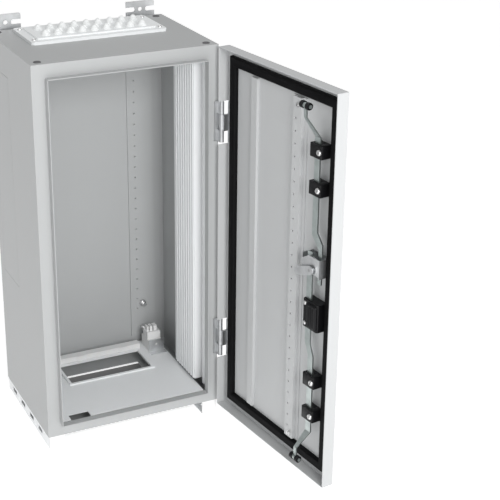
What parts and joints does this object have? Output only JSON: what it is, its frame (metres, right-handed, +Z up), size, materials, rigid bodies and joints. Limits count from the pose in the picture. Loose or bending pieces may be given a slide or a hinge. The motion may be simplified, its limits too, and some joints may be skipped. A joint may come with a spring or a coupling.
{
  "type": "switchboard cabinet",
  "caption": "Sheet steel switchboard cabinet on floor rails: sealed hinged door, geared rod lock with rollers and a side tongue, roof cable gland plate, wall fixing lugs.",
  "frame": {"origin": "centre of the four base bolt holes, on the floor under the base rails", "axes": "+Z up, -Y the front that the door closes, +X towards the hinges"},
  "size_m": [0.4765, 0.7039, 0.86],
  "materials": {
    "body_paint": "fine textured powder coat, light grey",
    "door_paint": "powder coat, light grey",
    "white_paint": "smooth paint, off-white",
    "white_plastic": "moulded, off-white",
    "gland_plastic": "moulded, off-white",
    "white_rubber": "soft moulded, off-white",
    "grey_rubber": "soft moulded, dark grey",
    "black_rubber": "foamed, black",
    "black_plastic": "moulded, black",
    "zinc_steel": "zinc plated"
  },
  "bodies": {
    "cabinet": {"front_frame": "body_paint", "side_wall_left": "body_paint", "side_wall_right": "body_paint", "side_cover_left": "body_paint", "side_cover_right": "body_paint", "side_liner_left": "white_paint", "side_liner_right": "white_paint", "front_upright_left": "white_paint", "front_upright_right": "white_paint", "base_rail_left": "white_paint", "base_rail_right": "white_paint", "roof": "body_paint", "roof_plugs": "grey_rubber", "floor_pan": "body_paint", "back_panel": "body_paint", "gland_frame": "gland_plastic", "gland_plate": "gland_plastic", "gland_screws": "zinc_steel", "cable_grommets": "white_rubber", "floor_plate": "white_paint", "entry_collar": "white_paint", "entry_bar": "white_plastic", "terminal_block": "white_plastic", "terminal_foot": "zinc_steel", "rear_studs": "zinc_steel", "rail_caps": "white_plastic", "wall_lugs_top": "zinc_steel", "wall_lugs_bottom": "zinc_steel", "lug_bolts": "zinc_steel", "catch_top": "zinc_steel", "catch_bottom": "zinc_steel", "catch_side": "zinc_steel", "hinge_frame_half_bottom": "zinc_steel", "hinge_frame_half_top": "zinc_steel", "hinge_pin_bottom": "zinc_steel", "hinge_pin_top": "zinc_steel"},
    "door": {"hinge_door_half_bottom": "zinc_steel", "hinge_door_half_top": "zinc_steel", "door_panel": "door_paint", "door_seal": "black_rubber", "stiffener_rib": "door_paint", "perforated_rail": "door_paint", "rail_nuts": "zinc_steel", "rod_guide_1": "black_plastic", "rod_guide_2": "black_plastic", "rod_guide_3": "black_plastic", "rod_guide_4": "black_plastic", "lock_case": "black_plastic", "lock_screws": "zinc_steel", "gear_bracket": "zinc_steel", "handle_rose": "black_plastic"},
    "handle": {"spindle_pinion": "zinc_steel", "handle_lever": "black_plastic"},
    "idler": {"idler_gear": "zinc_steel", "side_tongue": "zinc_steel"},
    "lower_rod": {"lower_rod": "zinc_steel"},
    "upper_rod": {"upper_rod": "zinc_steel"},
    "roller_top": {"rollers_top": "black_plastic"},
    "roller_bottom": {"rollers_bottom": "black_plastic"}
  },
  "joints": [
    {"name": "door_hinge", "type": "hinge", "parent": "cabinet", "child": "door", "pos_m": [0.196, -0.157, 0.43], "axis": [0, 0, 1], "range_deg": [-96.8, 23.2]},
    {"name": "handle_turn", "type": "hinge", "parent": "door", "child": "handle", "pos_m": [0.23307, -0.49323, 0.38], "axis": [-0.993, -0.1184, 0], "range_deg": [0, 90]},
    {"name": "idler_turn", "type": "hinge", "parent": "door", "child": "idler", "pos_m": [0.23254, -0.48876, 0.477], "axis": [-0.993, -0.1184, 0], "range_deg": [0, 144.1]},
    {"name": "lower_rod_slide", "type": "slide", "parent": "door", "child": "lower_rod", "axis": [0, 0, -1], "range_m": [0, 0.0189]},
    {"name": "upper_rod_slide", "type": "slide", "parent": "door", "child": "upper_rod", "axis": [0, 0, 1], "range_m": [0, 0.0189]},
    {"name": "roller_top_spin", "type": "hinge", "parent": "upper_rod", "child": "roller_top", "pos_m": [0.20958, -0.47362, 0.7935], "axis": [-0.1184, 0.993, 0], "continuous": true},
    {"name": "roller_bottom_spin", "type": "hinge", "parent": "lower_rod", "child": "roller_bottom", "pos_m": [0.20958, -0.47362, 0.0665], "axis": [-0.1184, 0.993, 0], "continuous": true}
  ],
  "couplings": [
    {"joint": "idler_turn", "follows": "handle_turn", "ratio": 1.6},
    {"joint": "lower_rod_slide", "follows": "handle_turn", "m_per_rad": 0.012},
    {"joint": "upper_rod_slide", "follows": "handle_turn", "m_per_rad": 0.012}
  ]
}
